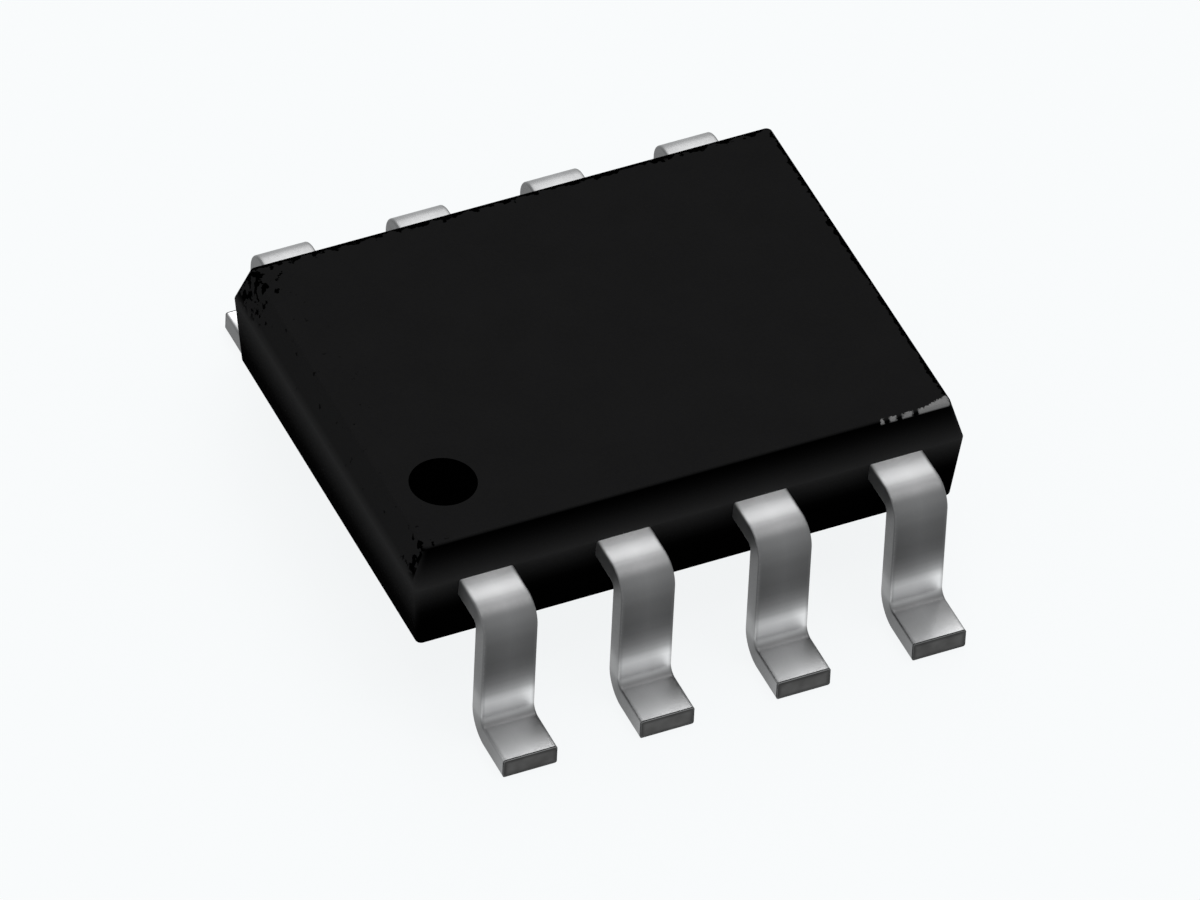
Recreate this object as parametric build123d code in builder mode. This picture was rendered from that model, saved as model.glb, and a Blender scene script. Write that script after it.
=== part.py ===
from build123d import *
from math import radians, tan
import os

# An eight-lead small-outline integrated circuit, as it comes off the trim and form tool.
# Millimetres, +Z up. The origin is on the seating plane, under the middle of the body.
# X runs along the two rows of leads. Leads 1 to 4 stand on the -Y side, lead 1 at the -X end,
# and leads 5 to 8 come back along the +Y side, lead 5 at the +X end.

# Moulded body
BODY_LENGTH = 5.10           # along X, at the parting line
BODY_WIDTH = 3.95            # along Y, at the parting line
STAND_OFF = 0.70             # underside above the seating plane
LOWER_HEIGHT = 0.70          # underside to the parting line
UPPER_HEIGHT = 0.38          # parting line to the top face
LOWER_DRAFT = 5.0            # degrees, walls below the parting line
UPPER_DRAFT = 15.0           # degrees, walls above the parting line
CORNER_RADIUS = 0.05         # upright corners
RIM_RADIUS = 0.025           # round the top face and the underside
PIN_DOT_DIAMETER = 0.58      # dimple that marks lead 1
PIN_DOT_DEPTH = 0.03
PIN_DOT_FROM_END = 0.58      # its middle, in from the -X end at the parting line
PIN_DOT_FROM_SIDE = 0.79     # its middle, in from the -Y side at the parting line
EJECTOR_DIAMETER = 0.90      # ejector-pin mark in the underside
EJECTOR_DEPTH = 0.02

# Lead frame: leads, fingers and paddle are all stamped from one sheet
FRAME_THICKNESS = 0.19
LEADS_PER_SIDE = 4
LEAD_PITCH = 1.27
LEAD_WIDTH = 0.50
LEAD_SPAN = 6.00             # toe to toe
SHOULDER_REACH = 0.54        # body side to the outer face of the riser
SHOULDER_RADIUS = 0.04       # inside of the upper bend
HEEL_RADIUS = 0.08           # inside of the lower bend
ROOT_DEPTH = 0.28            # straight, full-width stretch of lead inside the body
FINGER_PITCH = 0.86          # the fingers close up towards the die
FINGER_WIDTH = 0.42
FINGER_LENGTH = 0.30         # parallel stretch at the finger's tip, where the wire lands
FINGER_GAP = 0.22            # finger tip to paddle, seen from above

# Die paddle
PADDLE_LENGTH = 2.20
PADDLE_WIDTH = 1.50
PADDLE_DOWNSET = 0.15        # top of the paddle below the top of the fingers
TIE_WIDTH = 0.26
TIE_SLOPE_RUN = 0.20         # length along X of the step between paddle and frame level
TIE_COVER = 0.10             # compound left over the end of a tie bar

# Die and the glue under it
DIE_LENGTH = 1.60
DIE_WIDTH = 1.00
DIE_THICKNESS = 0.20
GLUE_THICKNESS = 0.02
GLUE_FILLET = 0.04           # glue squeezed out past the die on each side

# Bond wires
PAD_PITCH = 0.40             # bond pads along each long side of the die
PAD_INSET = 0.10             # pad middle to the die's edge
WIRE_DIAMETER = 0.025
WIRE_SIDES = 8               # flats that stand for the round section of so thin a wire
BALL_DIAMETER = 0.07
BALL_HEIGHT = 0.018
LOOP_HEIGHT = 0.13           # top of the loop above the die
LOOP_RADIUS = 0.05
LOOP_FLAT = 0.14             # level stretch of the loop, before it slopes to the finger
STITCH_LENGTH = 0.09
STITCH_WIDTH = 0.05
STITCH_HEIGHT = 0.02
STITCH_INSET = 0.12          # stitch middle to the finger's tip

# Levels and half sizes that the pieces share
parting_z = STAND_OFF + LOWER_HEIGHT
top_z = parting_z + UPPER_HEIGHT
frame_top = parting_z
paddle_top = frame_top - PADDLE_DOWNSET
glue_top = paddle_top + GLUE_THICKNESS
die_top = glue_top + DIE_THICKNESS
finger_tip = PADDLE_WIDTH / 2 + FINGER_GAP
root_end = BODY_WIDTH / 2 - ROOT_DEPTH
toe = LEAD_SPAN / 2
riser = BODY_WIDTH / 2 + SHOULDER_REACH


def drafted_inset(height, draft):
    """How far a wall of this draft, in degrees, leans in over a height from the parting line."""
    return height * tan(radians(draft))


def row_place(lead_number, pitch):
    """Place along X of a lead, finger or pad, for leads 1 to 8 counted round the body."""
    index = lead_number - 1
    along = index if index < LEADS_PER_SIDE else 2 * LEADS_PER_SIDE - 1 - index
    return (along - (LEADS_PER_SIDE - 1) / 2) * pitch


def row_side(lead_number):
    """-1 for the leads on the -Y side, +1 for those on the +Y side."""
    return -1 if lead_number <= LEADS_PER_SIDE else 1


# Leads
# Each is a strip of the sheet, bent down and out to a flat foot. Inside the body it narrows to a finger
# that leans in towards the die. The profile is drawn outwards from the middle of the body.
lead_numbers = range(1, 2 * LEADS_PER_SIDE + 1)
leads = []
for number in lead_numbers:
    lead_x = row_place(number, LEAD_PITCH)
    finger_x = row_place(number, FINGER_PITCH)
    side = row_side(number)
    outward = Plane(origin=(lead_x, 0, 0), x_dir=(0, side, 0), z_dir=(side, 0, 0))

    with BuildPart() as lead:
        with BuildSketch(outward):
            with BuildLine():
                upper = FilletPolyline(
                    (root_end, frame_top),
                    (riser, frame_top),
                    (riser, FRAME_THICKNESS),
                    (toe, FRAME_THICKNESS),
                    radius=(SHOULDER_RADIUS + FRAME_THICKNESS, HEEL_RADIUS),
                )
                lower = FilletPolyline(
                    (root_end, frame_top - FRAME_THICKNESS),
                    (riser - FRAME_THICKNESS, frame_top - FRAME_THICKNESS),
                    (riser - FRAME_THICKNESS, 0),
                    (toe, 0),
                    radius=(SHOULDER_RADIUS, HEEL_RADIUS + FRAME_THICKNESS),
                )
                Line(upper @ 0, lower @ 0)
                Line(upper @ 1, lower @ 1)
            make_face()
        extrude(amount=LEAD_WIDTH / 2, both=True)

        with BuildSketch(Plane.XY.offset(frame_top)):
            with BuildLine():
                Polyline(
                    (lead_x - LEAD_WIDTH / 2, side * root_end),
                    (finger_x - FINGER_WIDTH / 2, side * (finger_tip + FINGER_LENGTH)),
                    (finger_x - FINGER_WIDTH / 2, side * finger_tip),
                    (finger_x + FINGER_WIDTH / 2, side * finger_tip),
                    (finger_x + FINGER_WIDTH / 2, side * (finger_tip + FINGER_LENGTH)),
                    (lead_x + LEAD_WIDTH / 2, side * root_end),
                    close=True,
                )
            make_face()
        extrude(amount=-FRAME_THICKNESS)

    lead.part.label = f"lead_{number}"
    leads.append(lead.part)

# Die paddle
# The middle of the lead frame, pressed down below the fingers. A tie bar at each end steps up to the
# level of the frame and stops just under the skin of the body's end.
paddle_end = PADDLE_LENGTH / 2
tie_end = BODY_LENGTH / 2 - TIE_COVER

with BuildPart() as die_paddle:
    with BuildSketch(Plane.XY.offset(paddle_top)):
        Rectangle(PADDLE_LENGTH, PADDLE_WIDTH)
    extrude(amount=-FRAME_THICKNESS)

    with BuildSketch(Plane.XZ):
        with BuildLine():
            Polyline(
                (paddle_end, paddle_top),
                (paddle_end + TIE_SLOPE_RUN, frame_top),
                (tie_end, frame_top),
                (tie_end, frame_top - FRAME_THICKNESS),
                (paddle_end + TIE_SLOPE_RUN, frame_top - FRAME_THICKNESS),
                (paddle_end, paddle_top - FRAME_THICKNESS),
                close=True,
            )
        make_face()
        mirror(about=Plane.YZ)
    extrude(amount=TIE_WIDTH / 2, both=True)

die_paddle.part.label = "die_paddle"

# Die-attach glue
# A thin bed of silver-filled glue, squeezed out a little all round the die.
with BuildPart() as die_attach:
    with BuildSketch(Plane.XY.offset(paddle_top)):
        Rectangle(DIE_LENGTH + 2 * GLUE_FILLET, DIE_WIDTH + 2 * GLUE_FILLET)
    extrude(amount=GLUE_THICKNESS)

die_attach.part.label = "die_attach"

# Silicon die
with BuildPart() as die:
    with BuildSketch(Plane.XY.offset(glue_top)):
        Rectangle(DIE_LENGTH, DIE_WIDTH)
    extrude(amount=DIE_THICKNESS)

die.part.label = "die"

# Bond wires
# Each starts as a flattened ball on the die, rises, loops over the die's edge and slopes down to a
# pressed stitch on its lead's finger. The wire is drawn in the upright plane through both ends.
wires = []
for number in lead_numbers:
    side = row_side(number)
    ball = Vector(row_place(number, PAD_PITCH), side * (DIE_WIDTH / 2 - PAD_INSET), die_top)
    stitch = Vector(row_place(number, FINGER_PITCH), side * (finger_tip + STITCH_INSET), frame_top)
    across = Vector(stitch.X - ball.X, stitch.Y - ball.Y, 0)
    run = across.length
    upright = Plane(origin=ball, x_dir=across, z_dir=across.cross(Vector(0, 0, 1)))

    with BuildPart() as bond_wire:
        with BuildSketch(Plane.XY.offset(die_top)):
            with Locations((ball.X, ball.Y)):
                Circle(BALL_DIAMETER / 2)
        extrude(amount=BALL_HEIGHT)

        with BuildLine(upright) as path:
            FilletPolyline(
                (0, BALL_HEIGHT / 2),
                (0, LOOP_HEIGHT),
                (LOOP_FLAT, LOOP_HEIGHT),
                (run, stitch.Z - ball.Z + WIRE_DIAMETER / 2),
                radius=(LOOP_RADIUS, LOOP_RADIUS),
            )
        with BuildSketch(Plane(origin=path.line @ 0, z_dir=path.line % 0)):
            RegularPolygon(WIRE_DIAMETER / 2, WIRE_SIDES)
        sweep(path=path.line)

        with BuildSketch(Plane(origin=stitch, x_dir=across, z_dir=(0, 0, 1))):
            Rectangle(STITCH_LENGTH, STITCH_WIDTH)
        extrude(amount=STITCH_HEIGHT)

    bond_wire.part.label = f"bond_wire_{number}"
    wires.append(bond_wire.part)

# Moulded body
# Two drafted halves that meet at the parting line, level with the top of the lead frame. The compound
# is moulded round everything above, so its hollows are those pieces' own shapes, with no clearance.
lower_inset = drafted_inset(LOWER_HEIGHT, LOWER_DRAFT)
upper_inset = drafted_inset(UPPER_HEIGHT, UPPER_DRAFT)

with BuildPart() as package_body:
    with BuildSketch(Plane.XY.offset(STAND_OFF)):
        RectangleRounded(BODY_LENGTH - 2 * lower_inset, BODY_WIDTH - 2 * lower_inset, CORNER_RADIUS)
    with BuildSketch(Plane.XY.offset(parting_z)):
        RectangleRounded(BODY_LENGTH, BODY_WIDTH, CORNER_RADIUS)
    with BuildSketch(Plane.XY.offset(top_z)):
        RectangleRounded(BODY_LENGTH - 2 * upper_inset, BODY_WIDTH - 2 * upper_inset, CORNER_RADIUS)
    loft(ruled=True)

    top_face = package_body.faces().sort_by(Axis.Z)[-1]
    underside = package_body.faces().sort_by(Axis.Z)[0]
    fillet(top_face.edges() + underside.edges(), radius=RIM_RADIUS)

    dot_x = PIN_DOT_FROM_END - BODY_LENGTH / 2
    dot_y = PIN_DOT_FROM_SIDE - BODY_WIDTH / 2
    with BuildSketch(Plane.XY.offset(top_z)):
        with Locations((dot_x, dot_y)):
            Circle(PIN_DOT_DIAMETER / 2)
    extrude(amount=-PIN_DOT_DEPTH, mode=Mode.SUBTRACT)

    with BuildSketch(Plane.XY.offset(STAND_OFF)):
        Circle(EJECTOR_DIAMETER / 2)
    extrude(amount=EJECTOR_DEPTH, mode=Mode.SUBTRACT)

    for piece in leads + [die_paddle.part, die_attach.part, die.part] + wires:
        add(piece, mode=Mode.SUBTRACT)

package_body.part.label = "package_body"

# Files
pieces = [package_body.part] + leads + [die_paddle.part, die_attach.part, die.part] + wires
os.makedirs("parts", exist_ok=True)
for piece in pieces:
    export_step(piece, f"parts/{piece.label}.step")
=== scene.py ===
import bpy
import numpy as np
from mathutils import Matrix, Vector


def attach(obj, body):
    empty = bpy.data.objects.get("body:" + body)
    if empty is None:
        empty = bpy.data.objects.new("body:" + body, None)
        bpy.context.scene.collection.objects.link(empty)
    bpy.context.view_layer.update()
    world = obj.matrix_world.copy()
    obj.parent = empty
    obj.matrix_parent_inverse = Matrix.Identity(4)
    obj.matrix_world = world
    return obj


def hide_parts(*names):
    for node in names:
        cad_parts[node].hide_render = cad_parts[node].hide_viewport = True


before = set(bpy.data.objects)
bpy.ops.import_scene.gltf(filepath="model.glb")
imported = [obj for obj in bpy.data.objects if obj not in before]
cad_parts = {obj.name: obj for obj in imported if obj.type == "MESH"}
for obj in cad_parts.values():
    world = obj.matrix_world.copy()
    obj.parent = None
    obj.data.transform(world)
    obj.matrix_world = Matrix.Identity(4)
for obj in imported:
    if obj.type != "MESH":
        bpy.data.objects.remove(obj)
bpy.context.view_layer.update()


# Formed leads
# Eight strips of copper-alloy sheet, stamped with the rest of the lead frame, plated with matt tin after
# moulding, then cropped and bent to a gull wing. Stamping rounds their long edges; the cropped toe is bare.
MM = 0.001
LEADS_PER_SIDE = 4
LEAD_PITCH = 1.27 * MM
LEAD_WIDTH = 0.50 * MM
SHEET = 0.19 * MM
PARTING = 1.40 * MM              # level of the body's parting line and of the sheet's top
BODY_SIDE = 1.975 * MM           # middle of the body to its side at the parting line
RISER = 2.515 * MM               # middle of the body to the riser's outer face
TOE = 3.00 * MM                  # middle of the body to the cropped end
SHOULDER_RADIUS = 0.04 * MM      # inside of the upper bend
HEEL_RADIUS = 0.08 * MM          # inside of the lower bend
ROOT_END = 1.695 * MM            # where the strip starts to narrow to its finger, inside the body
FINGER_TIP = 0.97 * MM
FINGER_LENGTH = 0.30 * MM
FINGER_PITCH = 0.86 * MM
FINGER_WIDTH = 0.42 * MM
STAMPED_EDGE = 0.032 * MM        # rounding of the long edges
CROPPED_EDGE = 0.012 * MM        # rounding round the two ends
HALF_ROUND = 0.3                 # how far a rounding's halfway point lies in, as a share of its radius
BEND_STEPS = 18
RUN_STEPS = 24
# Painted highlight and painted shade along the tin, as pairs of a distance from the finger tip along the
# strip, in mm, and a share. The painted highlight fades from the body to the upper bend, painted shade keeps
# the riser dull, and it is bright above the heel, dull on it and brighter again towards the toe.
IRONED = (
    (1.00, 1.00), (1.08, 1.00), (1.13, 0.90), (1.19, 0.78), (1.25, 0.56), (1.29, 0.41), (1.325, 0.21),
    (1.36, 0.09), (1.40, 0.10), (1.44, 0.13), (1.50, 0.09), (1.62, 0.055), (1.84, 0.040), (1.97, 0.065),
    (2.10, 0.175), (2.20, 0.45), (2.26, 0.90), (2.30, 1.00), (2.42, 1.00), (2.46, 0.60), (2.50, 0.37),
    (2.54, 0.24), (2.57, 0.16), (2.595, 0.06), (2.63, 0.05), (2.66, 0.10), (2.72, 0.18), (2.82, 0.26),
    (2.90, 0.38), (2.98, 0.56), (3.08, 0.84))
IRONED_SPREAD = np.linspace(-0.02, 0.02, 7)      # shifts in mm that the table is averaged over
IRONED_BACK = ((1.00, 0.40), (1.25, 0.33), (1.40, 0.23), (1.50, 0.14), (1.60, 0.06))  # painted highlight and shade on the far row's shoulders
DULLED_FOOT = ((2.60, 1.00), (3.00, 0.65))       # painted shade: share of the painted light left on the foot of lead 4
SHEARED_BACK = 1.25              # painted shade: the far row's side mark, times the near row's
ROLLED_OVER = 0.05 * MM          # the outer face's margins, darkened by painted shade
ROOT_LINE = 0.010 * MM           # fading of the dark line where a lead leaves the body
CROPPED_DEPTH = 0.02 * MM        # how far the bare end reaches back from the toe
CROPPED_BORDER = 0.045 * MM      # the darker border round the bare end
lead_numbers = range(1, 2 * LEADS_PER_SIDE + 1)


def row_place(number, pitch):
    """Place along X in its row. Leads 1 to 4 run along the near side, 5 to 8 come back along the far one."""
    index = number - 1
    along = index if index < LEADS_PER_SIDE else 2 * LEADS_PER_SIDE - 1 - index
    return (along - (LEADS_PER_SIDE - 1) / 2) * pitch


def bent_line(corners, radii, arc_steps, run_steps):
    """Points of straight runs joined by arcs, the unit direction at each, and how far along each lies.

    The arc at a corner starts and ends one tangent length from it, the radius times the tangent of half
    the turn, and turns evenly about its own centre. A run is stepped closely at its ends and wide between.
    """
    corners = np.asarray(corners, float)
    runs = np.diff(corners, axis=0)
    ways = runs / np.linalg.norm(runs, axis=1)[:, None]
    ease = (1 - np.cos(np.linspace(0, np.pi, run_steps))) / 2
    points, directions, start = [], [], corners[0]
    for corner, radius, before, after in zip(corners[1:-1], radii, ways[:-1], ways[1:]):
        turn = np.arctan2(before[0] * after[1] - before[1] * after[0], before @ after)
        tangent = radius * np.tan(abs(turn) / 2)
        end = corner - before * tangent
        points.append(start + np.outer(ease, end - start))
        directions.append(np.tile(before, (run_steps, 1)))
        inward = np.sign(turn) * np.array([-before[1], before[0]])
        angle = np.linspace(0, abs(turn), arc_steps + 2)[1:-1, None]
        centre = end + inward * radius
        points.append(centre - inward * radius * np.cos(angle) + before * radius * np.sin(angle))
        directions.append(before * np.cos(angle) + inward * np.sin(angle))
        start = corner + after * tangent
    points.append(start + np.outer(ease, corners[-1] - start))
    directions.append(np.tile(ways[-1], (run_steps, 1)))
    points, directions = np.concatenate(points), np.concatenate(directions)
    steps = np.linalg.norm(np.diff(points, axis=0), axis=1)
    return points, directions, np.concatenate([[0], np.cumsum(steps)])


def strip_section(width, thickness, radius, corner_steps=6, close=0.04):
    """Points round a rectangle with rounded corners, as (across, up) pairs, one row for each width.

    A corner's points are its centre plus the radius along an evenly turning direction. Each flat has its
    middle point and one near either end, the share close of its length away, so that the rounding doesn't
    shade the flat.
    """
    quarter = np.linspace(0, np.pi / 2, corner_steps)
    turns = np.concatenate([quarter + k * np.pi / 2 for k in range(4)])
    side_x = np.repeat([1, -1, -1, 1], corner_steps)
    side_y = np.repeat([1, 1, -1, -1], corner_steps)
    half_x = np.asarray(width, float)[:, None] / 2 - radius
    half_y = np.asarray(thickness, float)[:, None] / 2 - radius
    across = half_x * side_x + radius * np.cos(turns)
    up = half_y * side_y + radius * np.sin(turns)
    ring = np.stack([across, up], axis=-1)
    following = np.roll(ring, -1, axis=1)
    parts = []
    for k in range(4):
        corner = ring[:, k * corner_steps:(k + 1) * corner_steps]
        last = corner[:, -1:]
        first = following[:, (k + 1) * corner_steps - 1:(k + 1) * corner_steps]
        parts += [corner, last + (first - last) * close, (last + first) / 2, first + (last - first) * close]
    return np.concatenate(parts, axis=1)


def closed_surface(name, rings, **marks):
    """A closed mesh from rings of equal counts of points, shut at both ends by a point at the ring's middle.

    Neighbouring rings are joined by four-sided faces. Each mark is a value or vector for every ring point,
    kept on the mesh under its name; the end points take the mean of their ring's.
    """
    count, around = rings.shape[:2]
    middles = rings[[0, -1]].mean(axis=1)
    places = np.concatenate([rings.reshape(-1, 3), middles])
    ring = np.arange(count - 1)[:, None] * around
    step = np.arange(around)
    after = (step + 1) % around
    quads = np.stack([ring + step, ring + after, ring + around + after, ring + around + step], axis=-1)
    last = (count - 1) * around
    first_cap = np.stack([np.full(around, count * around), after, step], axis=-1)
    last_cap = np.stack([np.full(around, count * around + 1), last + step, last + after], axis=-1)
    faces = quads.reshape(-1, 4).tolist() + first_cap.tolist() + last_cap.tolist()
    mesh = bpy.data.meshes.new(name)
    mesh.from_pydata(places.tolist(), [], faces)
    mesh.polygons.foreach_set("use_smooth", np.ones(len(faces), bool))
    for mark, values in marks.items():
        values = np.asarray(values, float)
        end_values = values[[0, -1]].reshape(2, around, -1).mean(axis=1)
        flat = np.concatenate([values.reshape(count * around, -1), end_values])
        kind, key = ("FLOAT_VECTOR", "vector") if flat.shape[1] == 3 else ("FLOAT", "value")
        mesh.attributes.new(mark, kind, "POINT").data.foreach_set(key, flat.astype(np.float32).ravel())
    mesh.update()
    piece = bpy.data.objects.new(name, mesh)
    bpy.context.scene.collection.objects.link(piece)
    return piece


def add_node(tree, kind, inputs=(), **settings):
    """One shader node. Inputs are numbers, colours or other nodes' outputs, by socket name or number."""
    made = tree.nodes.new(kind)
    for key, value in settings.items():
        setattr(made, key, value)
    for key, value in dict(inputs).items():
        if isinstance(value, bpy.types.NodeSocket):
            tree.links.new(value, made.inputs[key])
        else:
            made.inputs[key].default_value = value
    return made


def maths(tree, operation, *values, hold=True):
    """The result of one operation on numbers or outputs, held between 0 and 1 unless hold is False."""
    return add_node(tree, "ShaderNodeMath", enumerate(values), operation=operation, use_clamp=hold).outputs[0]


def blended(tree, share, low, high):
    """A colour that goes from low to high as share goes from 0 to 1."""
    node = add_node(tree, "ShaderNodeMix", {0: share, 6: low, 7: high}, data_type="RGBA")
    return node.outputs[2]


def ranged(tree, value, low, high, start=0.0, end=1.0):
    """A value moved from the range low to high into the range start to end, and held there."""
    node = add_node(tree, "ShaderNodeMapRange", {0: value, 1: low, 2: high, 3: start, 4: end})
    return node.outputs[0]


def mark_of(tree, name, vector=False):
    """A mark kept on the mesh, as a value or as a vector."""
    return add_node(tree, "ShaderNodeAttribute", attribute_name=name).outputs["Vector" if vector else "Fac"]


def new_finish(name, colour, metal, rough, specular):
    """A material whose Principled shader has these plain values, ready for its patterns."""
    material = bpy.data.materials.new(name)
    material.use_nodes = True
    tree = material.node_tree
    shader = tree.nodes["Principled BSDF"]
    shader.inputs["Base Color"].default_value = (*colour, 1)
    shader.inputs["Metallic"].default_value = metal
    shader.inputs["Roughness"].default_value = rough
    shader.inputs["Specular IOR Level"].default_value = specular
    return material, tree, shader


def bump_on(tree, shader, height, distance):
    """Raises the surface where height is 1 by distance, in metres."""
    bump = add_node(tree, "ShaderNodeBump", {"Height": height, "Distance": distance, "Strength": 1.0})
    tree.links.new(bump.outputs[0], shader.inputs["Normal"])


# Grain, in the finish of every piece, is three sizes of noise over the place it is given: slow cloudiness,
# crystals or filler, and a fine tooth. Size is the width of the crystals in metres, and Stretch draws the
# pattern out along an axis.
GRAIN_SIZES = (("Cloud", 0.07, 2.0), ("Crystal", 1.0, 3.0), ("Tooth", 3.7, 2.0))  # times scale, and detail
GRAIN_SOCKETS = (
    ("INPUT", {"Place": "Vector", "Size": "Float", "Stretch": "Vector"}),
    ("OUTPUT", {"Cloud": "Float", "Crystal": "Float", "Tooth": "Float"}))
grain_group = bpy.data.node_groups.new("grain", "ShaderNodeTree")
for direction, sockets in GRAIN_SOCKETS:
    for label, kind in sockets.items():
        grain_group.interface.new_socket(name=label, in_out=direction, socket_type=f"NodeSocket{kind}")
grain_in = grain_group.nodes.new("NodeGroupInput").outputs
grain_out = grain_group.nodes.new("NodeGroupOutput").inputs
drawn = add_node(grain_group, "ShaderNodeVectorMath", {0: grain_in["Place"], 1: grain_in["Stretch"]},
                 operation="MULTIPLY").outputs[0]
sized = maths(grain_group, "DIVIDE", 1.0, grain_in["Size"], hold=False)
for label, factor, detail in GRAIN_SIZES:
    scale = maths(grain_group, "MULTIPLY", sized, factor, hold=False)
    noise = add_node(grain_group, "ShaderNodeTexNoise",
                     {"Vector": drawn, "Scale": scale, "Detail": detail, "Roughness": 0.55})
    grain_group.links.new(ranged(grain_group, noise.outputs[0], 0.3, 0.7), grain_out[label])


def grain_of(tree, place, size, stretch=(1, 1, 1)):
    """The grain's three values at this place."""
    node = add_node(tree, "ShaderNodeGroup", node_tree=grain_group)
    tree.links.new(place, node.inputs["Place"])
    node.inputs["Size"].default_value = size
    node.inputs["Stretch"].default_value = stretch
    return node.outputs


def rubbed_share(tree, edge, grain):
    """How far an edge is rubbed, so that its proud spots are rubbed first.

    It is 0.75 of the edge mark plus half the grain, taken from 0.55 up to 0.95, times the mark.
    """
    proud = maths(tree, "ADD", maths(tree, "MULTIPLY", edge, 0.75), maths(tree, "MULTIPLY", grain, 0.5))
    return maths(tree, "MULTIPLY", ranged(tree, proud, 0.55, 0.95), edge)


# Matt tin: grey crystals a few hundredths of a millimetre wide over the rolling lines of the sheet. Its tones
# in painted shade and in painted highlight are each clouded, lined, and darkened by painted shade on the
# outer face's margins, and the painted light along the lead blends them. The sheared sides are one dull tone,
# partly painted shade, and the cropped end and the line at the body are dark.
TIN_CRYSTALS = 0.022 * MM
ROLLING_LINES = 0.012 * MM
TIN_DULL, TIN_BRIGHT = (0.055, 0.055, 0.056, 1), (0.98, 0.98, 0.985, 1)
CLOUDED_DULL, CLOUDED_BRIGHT = (0.070, 0.070, 0.071, 1), (1.0, 1.0, 1.0, 1)
LINED_DULL, LINED_BRIGHT = (0.048, 0.048, 0.049, 1), (0.90, 0.90, 0.905, 1)
MARGIN_DULL, MARGIN_BRIGHT = (0.022, 0.022, 0.022, 1), (0.80, 0.80, 0.805, 1)
RUBBED_TIN = (0.56, 0.56, 0.565, 1)
SHEARED_TIN = (0.130, 0.130, 0.131, 1)
CROPPED_DARK, CROPPED_PALE = (0.055, 0.054, 0.053, 1), (0.092, 0.091, 0.090, 1)
BORDER_TONE = (0.022, 0.022, 0.022, 1)
ROOT_TONE = (0.012, 0.012, 0.012, 1)
tin, tree, shader = new_finish("matt_tin", (0.34, 0.34, 0.345), 1.0, 0.32, 0.5)
flat_place = mark_of(tree, "flat_place", vector=True)
crystals = grain_of(tree, flat_place, TIN_CRYSTALS)
lines = grain_of(tree, flat_place, ROLLING_LINES, (1.0, 0.06, 1.0))
rubbed = rubbed_share(tree, mark_of(tree, "edge"), crystals["Crystal"])
# Painted light: this mark paints highlights and shade along each lead, between its shaded and lit tones
ironed = mark_of(tree, "ironed")
tone = blended(tree, ironed, TIN_DULL, TIN_BRIGHT)
# Clouding, rolling lines and the margins' painted shade each have their own tones in painted shade and
# highlight
for pattern, share, dull, bright in (
        (crystals["Cloud"], 0.20, CLOUDED_DULL, CLOUDED_BRIGHT),
        (lines["Crystal"], 0.20, LINED_DULL, LINED_BRIGHT),
        (mark_of(tree, "rolled_over"), 0.50, MARGIN_DULL, MARGIN_BRIGHT)):
    tone = blended(tree, maths(tree, "MULTIPLY", pattern, share), tone, blended(tree, ironed, dull, bright))
tone = blended(tree, maths(tree, "MULTIPLY", rubbed, 0.2), tone, RUBBED_TIN)
# The side faces: the duller sheared finish and painted shade
tone = blended(tree, maths(tree, "MULTIPLY", mark_of(tree, "sheared"), 0.8), tone, SHEARED_TIN)
bare_end = blended(tree, lines["Cloud"], CROPPED_DARK, CROPPED_PALE)
bare_end = blended(tree, mark_of(tree, "outline"), bare_end, BORDER_TONE)
tone = blended(tree, mark_of(tree, "cropped"), tone, bare_end)
tone = blended(tree, mark_of(tree, "root"), tone, ROOT_TONE)
tree.links.new(tone, shader.inputs["Base Color"])
tree.links.new(ranged(tree, crystals["Crystal"], 0.0, 1.0, 0.41, 0.47), shader.inputs["Roughness"])
relief = maths(tree, "ADD", maths(tree, "MULTIPLY", crystals["Crystal"], 0.6),
               maths(tree, "MULTIPLY", lines["Crystal"], 0.4))
bump_on(tree, shader, relief, 0.00025 * MM)


def read_off(table, places):
    """Values at these places from a table of (place, value) pairs, in straight steps between the pairs."""
    return np.interp(places, *zip(*table))


def ironed_share(number, distances):
    """The painted highlight and shade at these distances along a lead, in mm: the table's mean over a short
    spread.
    """
    ironed = np.mean([read_off(IRONED, distances + shift) for shift in IRONED_SPREAD], axis=0)
    # The far row's shoulders get their own painted highlight and shade
    if number > LEADS_PER_SIDE:
        ironed = np.where(distances < IRONED_BACK[-1][0], read_off(IRONED_BACK, distances), ironed)
    # Painted shade darkens lead 4's foot
    if number == LEADS_PER_SIDE:
        ironed = ironed * read_off(DULLED_FOOT, distances)
    return ironed


def lead_line():
    """Points of a lead's bent line, along the middle of the sheet: unit directions, distances, narrowing.

    The line runs level from the finger tip, down the riser, and level again to the toe. The narrowing says
    how far the section there is drawn in, and it is 0 except at the last four points of either end, where
    the section closes over a small rounding and then crosses the end's flat border.
    """
    middle = SHEET / 2
    shoulder, heel = (RISER - middle, PARTING - middle), (RISER - middle, middle)
    line, way, along = bent_line([(FINGER_TIP, PARTING - middle), shoulder, heel, (TOE, middle)],
                                 [SHOULDER_RADIUS + middle, HEEL_RADIUS + middle], BEND_STEPS, RUN_STEPS)
    narrowing = np.array([CROPPED_BORDER, CROPPED_EDGE, HALF_ROUND * CROPPED_EDGE, 0.0])
    back = np.array([0.0, 0.0, HALF_ROUND * CROPPED_EDGE, CROPPED_EDGE])
    first, last = line[0] + way[0] * back[:, None], line[-1] - way[-1] * back[::-1, None]
    between = np.zeros(len(line) - 2)
    line = np.concatenate([first, line[1:-1], last])
    way = np.concatenate([way[:1].repeat(len(back), 0), way[1:-1], way[-1:].repeat(len(back), 0)])
    along = np.concatenate([along[0] + back, along[1:-1], along[-1] - back[::-1]])
    return line, way, along, np.concatenate([narrowing, between, narrowing[::-1]])


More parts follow.
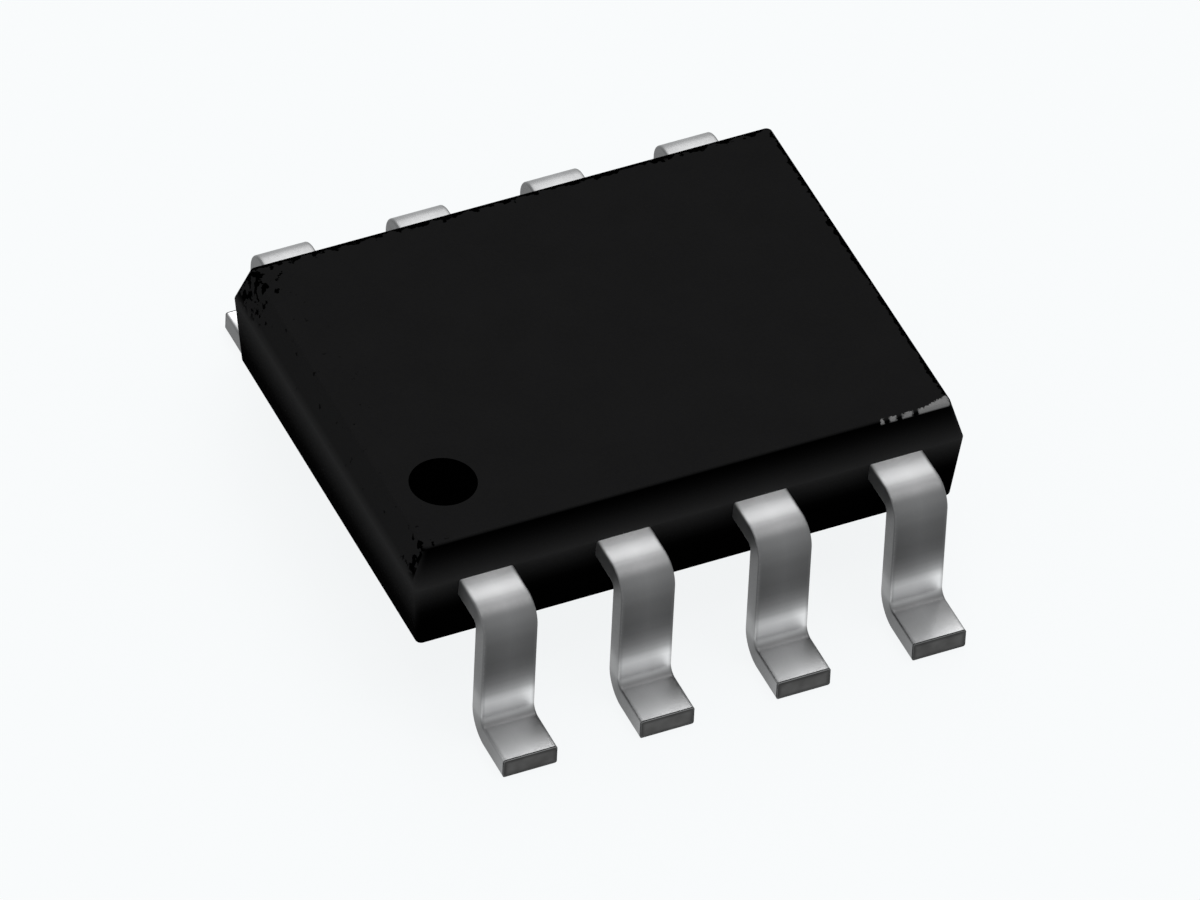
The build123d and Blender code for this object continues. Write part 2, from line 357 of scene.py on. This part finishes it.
def formed_lead(number):
    """One lead: the rounded strip section carried along the bent line, narrowing to its finger in the body.

    Across is along X. At each point of the line the section's up is the line's direction turned a quarter
    left, and the far side's leads are the near side's turned half round. The edge, side, margin and border
    marks are 1 there and fall evenly to 0 over their reach. The root's falls exponentially to both sides of
    the body's face, and the cropped end's with the square.
    """
    line, way, along, narrowing = lead_line()
    side = -1 if number <= LEADS_PER_SIDE else 1
    stops = [FINGER_TIP, FINGER_TIP + FINGER_LENGTH, ROOT_END]
    lead_x, finger_x = row_place(number, LEAD_PITCH), row_place(number, FINGER_PITCH)
    centre_x = np.interp(line[:, 0], stops, [finger_x, finger_x, lead_x])[:, None]
    width = np.interp(line[:, 0], stops, [FINGER_WIDTH, FINGER_WIDTH, LEAD_WIDTH])
    section = strip_section(width - 2 * narrowing, SHEET - 2 * narrowing, STAMPED_EDGE - CROPPED_EDGE)
    across, up = section[..., 0], section[..., 1]
    reach = line[:, :1] - up * way[:, 1:]
    level = line[:, 1:] + up * way[:, :1]
    from_side = width[:, None] / 2 - np.abs(across)
    from_face = SHEET / 2 - np.abs(up)
    all_round = np.zeros_like(across)
    return closed_surface(
        f"formed_lead_{number}",
        np.stack([centre_x - side * across, side * reach, level], axis=-1),
        flat_place=np.stack([across + number * 2 * LEAD_PITCH, along[:, None] + all_round, up], axis=-1),
        edge=np.clip(1 - np.maximum(from_side, from_face) / STAMPED_EDGE, 0, 1),
        # painted highlight and shade along the lead
        ironed=ironed_share(number, along / MM)[:, None] + all_round,
        # side faces: sheared finish and painted shade, with more painted shade on the far row
        sheared=np.clip(1 - from_side / STAMPED_EDGE, 0, 1) * (1.0 if side < 0 else SHEARED_BACK),
        # painted shade along the outer face's margins
        rolled_over=np.clip(1 - (from_side - STAMPED_EDGE) / ROLLED_OVER, 0, 1) * (up > 0),
        outline=np.clip(1 - np.minimum(from_side, from_face) / CROPPED_BORDER, 0, 1),
        root=np.exp(-np.abs(reach - BODY_SIDE) / ROOT_LINE) * (level > PARTING - 2 * SHEET),
        cropped=np.clip((reach - TOE) / CROPPED_DEPTH + 1, 0, 1) ** 2)


for number in lead_numbers:
    lead = formed_lead(number)
    lead.data.materials.append(tin)
    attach(lead, "root")
    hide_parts(f"lead_{number}")


# Die paddle
# The middle of the same copper-alloy sheet, pressed down below the fingers, with a tie bar at each end. It
# is bare metal, rolled in one direction, and the compound hides it.
COPPER_DARK, COPPER_PALE = (0.66, 0.31, 0.19, 1), (0.76, 0.40, 0.25, 1)
COPPER_LINES = (0.50, 0.22, 0.13, 1)


def own_place(tree):
    """The piece's own coordinates, in metres."""
    return add_node(tree, "ShaderNodeTexCoord").outputs["Object"]


def refinish(node, material):
    """Gives a CAD node this material."""
    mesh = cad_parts[node].data
    mesh.materials.clear()
    mesh.materials.append(material)


copper, tree, shader = new_finish("bare_copper_sheet", (0.72, 0.36, 0.22), 1.0, 0.30, 0.5)
place = own_place(tree)
rolled = grain_of(tree, place, 0.015 * MM, (0.05, 1.0, 1.0))
patches = grain_of(tree, place, 0.06 * MM)
tone = blended(tree, patches["Cloud"], COPPER_DARK, COPPER_PALE)
tone = blended(tree, maths(tree, "MULTIPLY", rolled["Crystal"], 0.3), tone, COPPER_LINES)
tree.links.new(tone, shader.inputs["Base Color"])
tree.links.new(ranged(tree, rolled["Tooth"], 0, 1, 0.24, 0.40), shader.inputs["Roughness"])
bump_on(tree, shader, rolled["Crystal"], 0.0008 * MM)
refinish("die_paddle", copper)


# Die-attach glue
# A thin bed of epoxy filled with silver flakes, dispensed on the paddle and squeezed out round the die
# before it is cured. It is dull grey, with flakes that glint.
GLUE_DARK, GLUE_PALE = (0.38, 0.38, 0.37, 1), (0.66, 0.66, 0.65, 1)
glue, tree, shader = new_finish("silver_filled_glue", (0.50, 0.50, 0.49), 0.35, 0.55, 0.4)
flakes = grain_of(tree, own_place(tree), 0.012 * MM)
tree.links.new(blended(tree, flakes["Crystal"], GLUE_DARK, GLUE_PALE), shader.inputs["Base Color"])
tree.links.new(ranged(tree, flakes["Tooth"], 0, 1, 0.35, 0.75), shader.inputs["Roughness"])
tree.links.new(ranged(tree, flakes["Crystal"], 0.5, 1.0, 0.1, 0.7), shader.inputs["Metallic"])
bump_on(tree, shader, flakes["Crystal"], 0.0015 * MM)
refinish("die_attach", glue)


# Silicon die
# Sawn from a polished wafer. Its top has a glassy protective layer over the circuit and bare aluminium pads
# where the wires land, and its sides are dull from the saw.
DIE_TOP = 1.47 * MM
DIE_WIDTH = 1.00 * MM
PAD_PITCH = 0.40 * MM
PAD_INSET = 0.10 * MM            # pad middle to the die's edge
PAD_SIDE = 0.10 * MM
TOP_SKIN = 0.002 * MM            # depth that counts as the top
FILM_DARK, FILM_PALE = (0.06, 0.075, 0.11, 1), (0.12, 0.11, 0.16, 1)
ALUMINIUM = (0.80, 0.80, 0.82, 1)
SAWN_SILICON = (0.20, 0.20, 0.215, 1)
POLISHED = (0.14, 0.14, 0.14, 1)


def apart(tree, value, place):
    """How far a value lies from a place, on either side of it."""
    return maths(tree, "ABSOLUTE", maths(tree, "SUBTRACT", value, place, hold=False), hold=False)


silicon, tree, shader = new_finish("silicon", (0.10, 0.11, 0.14), 0.55, 0.16, 0.6)
place = own_place(tree)
x, y, z = add_node(tree, "ShaderNodeSeparateXYZ", {0: place}).outputs
film = grain_of(tree, place, 0.05 * MM)
saw = grain_of(tree, place, 0.006 * MM, (0.1, 0.1, 1.0))
from_pad_x = apart(tree, maths(tree, "PINGPONG", x, PAD_PITCH, hold=False), PAD_PITCH / 2)
from_pad_y = apart(tree, maths(tree, "ABSOLUTE", y, hold=False), DIE_WIDTH / 2 - PAD_INSET)
on_pad = maths(tree, "MULTIPLY", maths(tree, "LESS_THAN", from_pad_x, PAD_SIDE / 2),
               maths(tree, "LESS_THAN", from_pad_y, PAD_SIDE / 2))
on_top = maths(tree, "GREATER_THAN", z, DIE_TOP - TOP_SKIN)
tone = blended(tree, film["Cloud"], FILM_DARK, FILM_PALE)
tone = blended(tree, maths(tree, "MULTIPLY", on_pad, on_top), tone, ALUMINIUM)
tone = blended(tree, on_top, SAWN_SILICON, tone)
tree.links.new(tone, shader.inputs["Base Color"])
tree.links.new(blended(tree, on_top, ranged(tree, saw["Tooth"], 0, 1, 0.35, 0.6), POLISHED),
               shader.inputs["Roughness"])
bump_on(tree, shader, saw["Crystal"], 0.0003 * MM)
refinish("die", silicon)


# Bond wires
# Drawn gold wire 25 micrometres thick. Each is welded as a flattened ball to its pad on the die, looped over
# the die's edge, and pressed flat into a stitch on its lead's finger.
GOLD_DEEP, GOLD_PALE = (0.90, 0.60, 0.22, 1), (1.0, 0.74, 0.34, 1)
gold, tree, shader = new_finish("drawn_gold", (0.95, 0.66, 0.26), 1.0, 0.2, 0.5)
skin = grain_of(tree, own_place(tree), 0.010 * MM)
tree.links.new(blended(tree, skin["Crystal"], GOLD_DEEP, GOLD_PALE), shader.inputs["Base Color"])
tree.links.new(ranged(tree, skin["Tooth"], 0, 1, 0.14, 0.28), shader.inputs["Roughness"])
bump_on(tree, shader, skin["Crystal"], 0.0002 * MM)
for number in lead_numbers:
    refinish(f"bond_wire_{number}", gold)


# Moulded body
# Black epoxy filled with fine silica, moulded round everything above in two drafted halves that meet at the
# parting line. A dimple marks lead 1, and an ejector pin leaves a round mark underneath. Handling has
# chipped its left corners and its far and right rims. A pale painted highlight lies along the near rim of
# the top at the right.
BODY_LENGTH = 5.10 * MM
BODY_WIDTH = 2 * BODY_SIDE
BODY_TOP = 1.78 * MM
UNDERSIDE = 0.70 * MM
LOWER_INSET = 0.0612 * MM        # the lower walls lean in by 5 degrees
UPPER_INSET = 0.1018 * MM        # the upper walls by 15 degrees
CORNER_RADIUS = 0.05 * MM        # upright corners at the parting line
SMALLEST_CORNER = 0.02 * MM
CORNER_SHRINK = 0.4              # how fast the corners tighten as the walls lean in
RIM_RADIUS = 0.025 * MM          # round the top face and the underside
RIDGE_RADIUS = 0.012 * MM        # along the parting line
FACE_MARGIN = 0.05 * MM          # flat strip inside a rim, before the face's own rings
LONG_STEPS = 120                 # points along a long side, a short one and a corner
SHORT_STEPS = 96
CORNER_STEPS = 7
DIMPLE_PLACE = (-1.97 * MM, -1.185 * MM)
DIMPLE_RADIUS = 0.29 * MM
DIMPLE_DEPTH = 0.03 * MM
DIMPLE_LEAN = 0.02 * MM          # how far its side leans in from rim to foot
DIMPLE_ROUNDINGS = (0.012 * MM, 0.008 * MM)      # at its foot and its rim
EJECTOR_RADIUS = 0.45 * MM
EJECTOR_DEPTH = 0.02 * MM
EJECTOR_LEAN = 0.008 * MM
EJECTOR_ROUNDINGS = (0.006 * MM, 0.004 * MM)
RECESS_MIDDLE = 0.004 * MM       # radius of the first ring in a recess
RECESS_MARGIN = 0.03 * MM        # flat ring outside its rim
RECESS_STEPS = 5
SPREAD_STEPS = 12                # rings from a recess out to the face's rim


def rim_outline(inset, radius):
    """Points round the body seen from above, one row for each inset, and how far each faces a long side.

    Each point is a place on the rectangle that the corner centres make, plus the radius along the side's
    outward direction, which turns evenly round a corner.
    """
    corners = np.array([(-1, -1), (1, -1), (1, 1), (-1, 1), (-1, -1)], float)
    turn = np.linspace(0, np.pi / 2, CORNER_STEPS + 2)[1:-1]
    base, angle = [], []
    for quarter, steps in enumerate((LONG_STEPS, SHORT_STEPS, LONG_STEPS, SHORT_STEPS)):
        start, end = corners[quarter:quarter + 2]
        outward = (quarter - 1) * np.pi / 2
        base += [start + (end - start) * np.linspace(0, 1, steps)[:, None], np.tile(end, (CORNER_STEPS, 1))]
        angle += [np.full(steps, outward), outward + turn]
    base, angle = np.concatenate(base), np.concatenate(angle)
    away = np.stack([np.cos(angle), np.sin(angle)], axis=-1)
    inset, radius = inset[:, None, None], radius[:, None, None]
    half_size = np.array([BODY_LENGTH, BODY_WIDTH]) / 2
    return base * (half_size - inset - radius) + radius * away, np.abs(away[:, 1])


def at_levels(outlines, levels):
    """Outlines seen from above, each lifted to its own level."""
    levels = np.broadcast_to(levels[:, None, None], outlines.shape[:2] + (1,))
    return np.concatenate([outlines, levels], axis=-1)


def round_recess(outline, centre, radius, lean, roundings, bottom, level):
    """Rings from the middle of a round recess out to the face's outline, and how many lie inside its rim.

    Lean is how far the recess's side leans in, roundings are the radii at its foot and rim, and bottom is
    the height of its flat bottom over the face. A ring near the recess is a circle about its middle, and
    beyond it the rings move in even shares from the circle to the outline.
    """
    profile, _, _ = bent_line([(RECESS_MIDDLE, bottom), (radius - lean, bottom), (radius, 0),
                               (radius + RECESS_MARGIN, 0)], roundings, RECESS_STEPS, RECESS_STEPS)
    away = outline - np.asarray(centre, float)
    unit = away / np.linalg.norm(away, axis=1)[:, None]
    circles = np.asarray(centre, float) + profile[:, :1, None] * unit
    share = np.linspace(0, 1, SPREAD_STEPS)[1:-1, None, None]
    spread = circles[-1] + (outline - circles[-1]) * share
    levels = level + np.concatenate([profile[:, 1], np.zeros(len(spread))])
    return at_levels(np.concatenate([circles, spread]), levels), len(circles) - RECESS_STEPS


wall, _, _ = bent_line(
    [(UPPER_INSET + FACE_MARGIN, BODY_TOP), (UPPER_INSET, BODY_TOP), (0, PARTING), (LOWER_INSET, UNDERSIDE),
     (LOWER_INSET + FACE_MARGIN, UNDERSIDE)], [RIM_RADIUS, RIDGE_RADIUS, RIM_RADIUS],
    arc_steps=7, run_steps=14)
corner_radius = CORNER_RADIUS - np.clip(wall[:, 0] - UPPER_INSET, 0, None) * CORNER_SHRINK
wall_outline, facing_side = rim_outline(wall[:, 0], np.clip(corner_radius, SMALLEST_CORNER, None))
wall_rings = at_levels(wall_outline, wall[:, 1])
top_rings, in_dimple = round_recess(wall_outline[0], DIMPLE_PLACE, DIMPLE_RADIUS, DIMPLE_LEAN,
                                    DIMPLE_ROUNDINGS, -DIMPLE_DEPTH, BODY_TOP)
under_rings, _ = round_recess(wall_outline[-1], (0, 0), EJECTOR_RADIUS, EJECTOR_LEAN,
                              EJECTOR_ROUNDINGS, EJECTOR_DEPTH, UNDERSIDE)
body_rings = np.concatenate([under_rings, wall_rings[::-1], top_rings[::-1]])

# The walls' marks, all painted light. A painted highlight runs along the parting line, and painted shade
# darkens the walls from there up to the top and down to the underside, where the long sides darken sooner
# than the ends.
# Above a low band the end walls are painted a little paler than the top.
SIDE_FADE, SIDE_POWER = 0.34 * MM, 1.6
END_FADE, END_POWER = 0.52 * MM, 1.3
RIM_FADE = 0.0185 * MM           # from the top's tone to the wall's, just below the rim
END_BAND = 0.08 * MM
height = body_rings[..., 2]
on_wall = np.repeat([0, 1, 0], [len(under_rings), len(wall_rings), len(top_rings)])[:, None]
above = np.clip((height - PARTING) / (BODY_TOP - PARTING), 0, 1)
side_below = np.clip(1 - (PARTING - height) / SIDE_FADE, 0, 1) ** SIDE_POWER
end_below = np.clip(1 - (PARTING - height) / END_FADE, 0, 1) ** END_POWER
below = facing_side * side_below + (1 - facing_side) * end_below
under_rim = on_wall * np.clip((BODY_TOP - height) / RIM_FADE, 0, 1)
# The wall, ridge and end-wall marks below carry the walls' painted shade and painted highlight
body = closed_surface(
    "moulded_body", body_rings,
    wall=under_rim * np.where(height > PARTING + END_BAND, facing_side, 1.0),
    ridge=on_wall * np.where(height > PARTING, (1 - above) ** 2, below),
    end_wall=under_rim * (height > PARTING) * (1 - facing_side),
    hollow=np.repeat([0, 1], [len(body_rings) - in_dimple, in_dimple])[:, None] + 0 * height)


def all_of(tree, *masks):
    """Where every one of these masks is set: their product."""
    result = masks[0]
    for mask in masks[1:]:
        result = maths(tree, "MULTIPLY", result, mask)
    return result


def any_of(tree, *masks):
    """Where at least one of these masks is set: their largest."""
    result = masks[0]
    for mask in masks[1:]:
        result = maths(tree, "MAXIMUM", result, mask)
    return result


def grows(tree, place, start, end, most=1.0):
    """A mask that grows from 0 at one place, in mm, to its most at the other, and is held beyond them."""
    return ranged(tree, place, start * MM, end * MM, 0.0, most)


def near_top(tree, z, start, end):
    """A mask of the top face and rim that grows between these two depths below it, in mm."""
    return ranged(tree, z, BODY_TOP - start * MM, BODY_TOP - end * MM)


# Where the chips lie, as pairs of places in mm from none to most. A third number is the most they reach
# there, where it isn't 1. Depths are from the top.
LEFT_CORNERS_X, LEFT_CORNERS_BESIDE = (-2.20, -2.46), (1.50, 1.86)
FAR_LEFT_X, FAR_LEFT_Y = (-2.10, -2.40), (1.20, 1.70, 0.82)
FAR_RIM_Y, FAR_RIM_DEPTH = (1.76, 1.85), (0.06, 0.02)
LEFT_THIRD_X = (-0.90, -2.40, 0.22)
CHIPPED_LEVEL = (1.42, 1.50)                     # none on the lower half
CHIPPED_Y = (-1.880, -1.865)                     # none on the near wall
TORN_FAR_Y, TORN_RIGHT_X, TORN_DEPTH = (1.785, 1.865), (2.365, 2.445), (0.030, 0.020)
GRAIN_SHARE, PLACE_SHARE = 0.60, 0.50            # of grain and place in how rough a spot is
PITTED = (0.68, 0.72)                            # roughness where a pit starts and where it is full
TORN = (0.84, 0.90)                              # the same for the torn line


def chip_pits(tree, x, y, z, chips):
    """Small dark pits where grain and place together are rough, in the places that were knocked."""
    beside = maths(tree, "ABSOLUTE", y, hold=False)
    left_corners = all_of(tree, grows(tree, x, *LEFT_CORNERS_X), grows(tree, beside, *LEFT_CORNERS_BESIDE))
    far_left_corner = all_of(tree, grows(tree, x, *FAR_LEFT_X), grows(tree, y, *FAR_LEFT_Y))
    far_rim = all_of(tree, grows(tree, y, *FAR_RIM_Y), near_top(tree, z, *FAR_RIM_DEPTH))
    chipped = any_of(tree, left_corners, far_left_corner, far_rim, grows(tree, x, *LEFT_THIRD_X))
    rough_spots = maths(tree, "ADD", maths(tree, "MULTIPLY", chips["Crystal"], GRAIN_SHARE),
                        maths(tree, "MULTIPLY", chipped, PLACE_SHARE))
    pits = all_of(tree, ranged(tree, rough_spots, *PITTED), ranged(tree, chipped, 0.0, 0.05),
                  grows(tree, z, *CHIPPED_LEVEL), grows(tree, y, *CHIPPED_Y))
    # A narrow torn line along the very edge of the far and right rims
    from_rim = any_of(tree, grows(tree, y, *TORN_FAR_Y), grows(tree, x, *TORN_RIGHT_X))
    torn = maths(tree, "MULTIPLY_ADD", chips["Crystal"], GRAIN_SHARE, from_rim, hold=False)
    torn = all_of(tree, ranged(tree, torn, *TORN), ranged(tree, from_rim, 0.0, 0.1),
                  near_top(tree, z, *TORN_DEPTH))
    return any_of(tree, pits, torn)


# Starts and ends of the painted highlight along the near rim, in mm, each with its fade: three pale dashes,
# and then the corner patch. Between two places the painted highlight widens from the first depth in from the
# rim to the second.
SCUFFS = (
    (1.78, 1.79, 1.81, 1.82), (1.86, 1.88, 1.92, 1.94), (1.98, 2.00, 2.07, 2.09), (2.13, 2.15, 2.42, 2.44))
SCUFF_PLACES = (2.20 * MM, 2.40 * MM)
SCUFF_DEPTHS = (0.014 * MM, 0.075 * MM)
SCUFF_FADE = 0.006               # mm to either side of their inner edge
SCUFF_RIM = (0.045, 0.030)       # mm below the top where they start and where they are full
SCUFF_COVER = 0.92
RAGGED = 0.024 * MM              # how far their edges wander
TOP_EDGE_Y = BODY_WIDTH / 2 - UPPER_INSET


def scuff_marks(tree, x, y, z, chips):
    """The painted highlight: between its starts and ends along the rim, and as far in from it as its depth.
    """
    ragged = maths(tree, "MULTIPLY_ADD", chips["Tooth"], RAGGED, -RAGGED / 2, hold=False)
    first, last = SCUFFS[0][0], SCUFFS[-1][-1]
    along_rim = grows(tree, maths(tree, "ADD", x, ragged, hold=False), first, last)
    dashes = add_node(tree, "ShaderNodeValToRGB", {0: along_rim})
    elements = dashes.color_ramp.elements
    for stop, edge in enumerate(np.ravel(SCUFFS)):
        share = (edge - first) / (last - first)
        element = elements[stop] if stop < 2 else elements.new(share)
        element.position = share
    for stop, element in enumerate(elements):
        element.color = (1, 1, 1, 1) if stop % 4 in (1, 2) else (0, 0, 0, 1)
    depth = ranged(tree, x, *SCUFF_PLACES, *SCUFF_DEPTHS)
    off_rim = maths(tree, "ADD", maths(tree, "ADD", y, TOP_EDGE_Y, hold=False), ragged, hold=False)
    past = maths(tree, "SUBTRACT", off_rim, depth, hold=False)
    in_depth = grows(tree, past, SCUFF_FADE, -SCUFF_FADE)
    return all_of(tree, dashes.outputs[0], in_depth, near_top(tree, z, *SCUFF_RIM))


# Moulding compound: black and almost without gloss, clouded and speckled by its filler
FILLER = 0.030 * MM
CHIP_SIZE = 0.075 * MM
COMPOUND_DARK, COMPOUND_PALE = (0.0086, 0.0086, 0.0088, 1), (0.0094, 0.0094, 0.0096, 1)
FILLER_TONE = (0.012, 0.012, 0.0122, 1)
# Painted light on the walls: a paler end-wall tone, painted shade, and a painted highlight at the parting
# line
END_WALL_TONE = (0.0118, 0.0118, 0.0120, 1)
WALL_TONE, RIDGE_TONE = (0.0002, 0.0002, 0.0002, 1), (0.0215, 0.0215, 0.0218, 1)
DIMPLE_TONE = (0.0001, 0.0001, 0.0001, 1)
PIT_TONE = (0.0002, 0.0002, 0.0002, 1)
SCUFF_TONE = (0.20, 0.20, 0.20, 1)
compound, tree, shader = new_finish("moulding_compound", (0.0090, 0.0090, 0.0092), 0.0, 0.6, 0.0004)
place = own_place(tree)
x, y, z = add_node(tree, "ShaderNodeSeparateXYZ", {0: place}).outputs
filler = grain_of(tree, place, FILLER)
chips = grain_of(tree, place, CHIP_SIZE)
hollow = mark_of(tree, "hollow")
pits = chip_pits(tree, x, y, z, chips)
tone = blended(tree, filler["Cloud"], COMPOUND_DARK, COMPOUND_PALE)
tone = blended(tree, maths(tree, "MULTIPLY", filler["Crystal"], 0.25), tone, FILLER_TONE)
# Painted light on the walls: paler end walls, painted shade, and a painted highlight along the parting line
tone = blended(tree, mark_of(tree, "end_wall"), tone, END_WALL_TONE)
side_tone = blended(tree, mark_of(tree, "ridge"), WALL_TONE, RIDGE_TONE)
tone = blended(tree, mark_of(tree, "wall"), tone, side_tone)
tone = blended(tree, hollow, tone, DIMPLE_TONE)
tone = blended(tree, pits, tone, PIT_TONE)
# Painted highlight: a pale glint along the near rim of the top at the right
scuffed = maths(tree, "MULTIPLY", scuff_marks(tree, x, y, z, chips), SCUFF_COVER)
tone = blended(tree, scuffed, tone, SCUFF_TONE)
tree.links.new(tone, shader.inputs["Base Color"])
roughness = ranged(tree, filler["Crystal"], 0, 1, 0.55, 0.72)
roughness = any_of(tree, roughness, maths(tree, "MULTIPLY", hollow, 0.95))
tree.links.new(roughness, shader.inputs["Roughness"])
relief = maths(tree, "ADD", maths(tree, "MULTIPLY", filler["Crystal"], 0.5),
               maths(tree, "MULTIPLY", filler["Tooth"], 0.3))
relief = maths(tree, "SUBTRACT", relief, maths(tree, "MULTIPLY", pits, 0.3))
bump_on(tree, shader, relief, 0.004 * MM)
body.data.materials.append(compound)
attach(body, "root")
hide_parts("package_body")


# Studio
# A white paper floor under the feet, pale air all round, three soft boxes, and a long lens where the
# photograph's stood.
WHITE = (0.947, 0.965, 0.973, 1)
FLOOR_REACH = 4.0
FLOOR_SIDES = 96
FLOOR_DROP = 0.002 * MM          # below the feet, so that the two faces don't meet
PAPER_GLOW = 0.92                # share of the floor that shows as the plain background does
PAPER_DARK, PAPER_PALE = (0.93, 0.945, 0.952, 1), (0.96, 0.98, 0.985, 1)
AIR_LIGHT = 0.47
floor_turn = np.linspace(0, 2 * np.pi, FLOOR_SIDES, endpoint=False)
floor_rim = np.stack([FLOOR_REACH * np.cos(floor_turn), FLOOR_REACH * np.sin(floor_turn),
                      np.full(FLOOR_SIDES, -FLOOR_DROP)], axis=-1)
floor_mesh = bpy.data.meshes.new("paper_floor")
floor_mesh.from_pydata(floor_rim.tolist(), [], [list(range(FLOOR_SIDES))])
floor = bpy.data.objects.new("paper_floor", floor_mesh)
bpy.context.scene.collection.objects.link(floor)


def seen_directly(tree):
    """1 for rays from the camera, off gloss and through glass; 0 for those that light the object."""
    rays = add_node(tree, "ShaderNodeLightPath").outputs
    return any_of(tree, rays["Is Camera Ray"], rays["Is Glossy Ray"], rays["Is Transmission Ray"])


paper = bpy.data.materials.new("white_paper")
paper.use_nodes = True
tree = paper.node_tree
tree.nodes.clear()
fibres = add_node(tree, "ShaderNodeTexNoise", {"Scale": 900.0, "Detail": 3.0})
paper_tone = blended(tree, fibres.outputs[0], PAPER_DARK, PAPER_PALE)
matt = add_node(tree, "ShaderNodeBsdfDiffuse", {"Color": paper_tone})
plain = add_node(tree, "ShaderNodeEmission", {"Color": WHITE, "Strength": 1.0})
share = maths(tree, "MULTIPLY", seen_directly(tree), PAPER_GLOW)
both = add_node(tree, "ShaderNodeMixShader", {0: share, 1: matt.outputs[0], 2: plain.outputs[0]})
add_node(tree, "ShaderNodeOutputMaterial", {0: both.outputs[0]})
floor_mesh.materials.append(paper)

world = bpy.data.worlds.new("pale_air")
bpy.context.scene.world = world
world.use_nodes = True
tree = world.node_tree
tree.nodes.clear()
lit = add_node(tree, "ShaderNodeBackground", {"Color": (1, 1, 1, 1), "Strength": AIR_LIGHT})
shown = add_node(tree, "ShaderNodeBackground", {"Color": WHITE, "Strength": 1.0})
both = add_node(tree, "ShaderNodeMixShader", {0: seen_directly(tree), 1: lit.outputs[0], 2: shown.outputs[0]})
add_node(tree, "ShaderNodeOutputWorld", {0: both.outputs[0]})


LAMP_DISTANCE = 0.5


def soft_box(name, direction, width, depth, brightness):
    """A rectangular lamp that faces the object. Its power is brightness times its area times pi."""
    lamp = bpy.data.lights.new(name, "AREA")
    lamp.shape = "RECTANGLE"
    lamp.size, lamp.size_y = width, depth
    lamp.energy = brightness * width * depth * np.pi
    box = bpy.data.objects.new(name, lamp)
    away = Vector(direction).normalized()
    box.location = away * LAMP_DISTANCE
    box.rotation_mode = "QUATERNION"
    box.rotation_quaternion = away.to_track_quat("Z", "Y")
    bpy.context.scene.collection.objects.link(box)


soft_box("back_soft_box", (0.24, 0.69, 0.69), 0.26, 0.34, 2.2)
soft_box("top_soft_box", (-0.05, -0.05, 1.0), 0.34, 0.34, 1.6)
soft_box("front_soft_box", (0.32, -0.08, 0.94), 0.34, 0.22, 2.4)

# Where the fitted camera aims and stands, in metres, and how far it is rolled about its own line of sight
AIM = Vector((-0.0001695, -0.0004772, 0.0009))
EYE = Vector((-0.042844, -0.088115, 0.092514))
ROLL = np.radians(2.879)
LENS = 469.51
SENSOR = 36.0
NEAREST, FURTHEST = 0.001, 20.0
camera_data = bpy.data.cameras.new("camera")
camera_data.lens = LENS
camera_data.sensor_width = SENSOR
camera_data.clip_start = NEAREST
camera_data.clip_end = FURTHEST
camera = bpy.data.objects.new("camera", camera_data)
bpy.context.scene.collection.objects.link(camera)
look = (AIM - EYE).normalized()
level_right = look.cross(Vector((0, 0, 1))).normalized()
level_up = level_right.cross(look)
right = level_right * np.cos(ROLL) + level_up * np.sin(ROLL)
up = level_up * np.cos(ROLL) - level_right * np.sin(ROLL)
stand = Matrix((right, up, -look)).transposed().to_4x4()
stand.translation = EYE
camera.matrix_world = stand
bpy.context.scene.camera = camera
bpy.context.scene.view_settings.view_transform = "Standard"

bpy.context.view_layer.update()
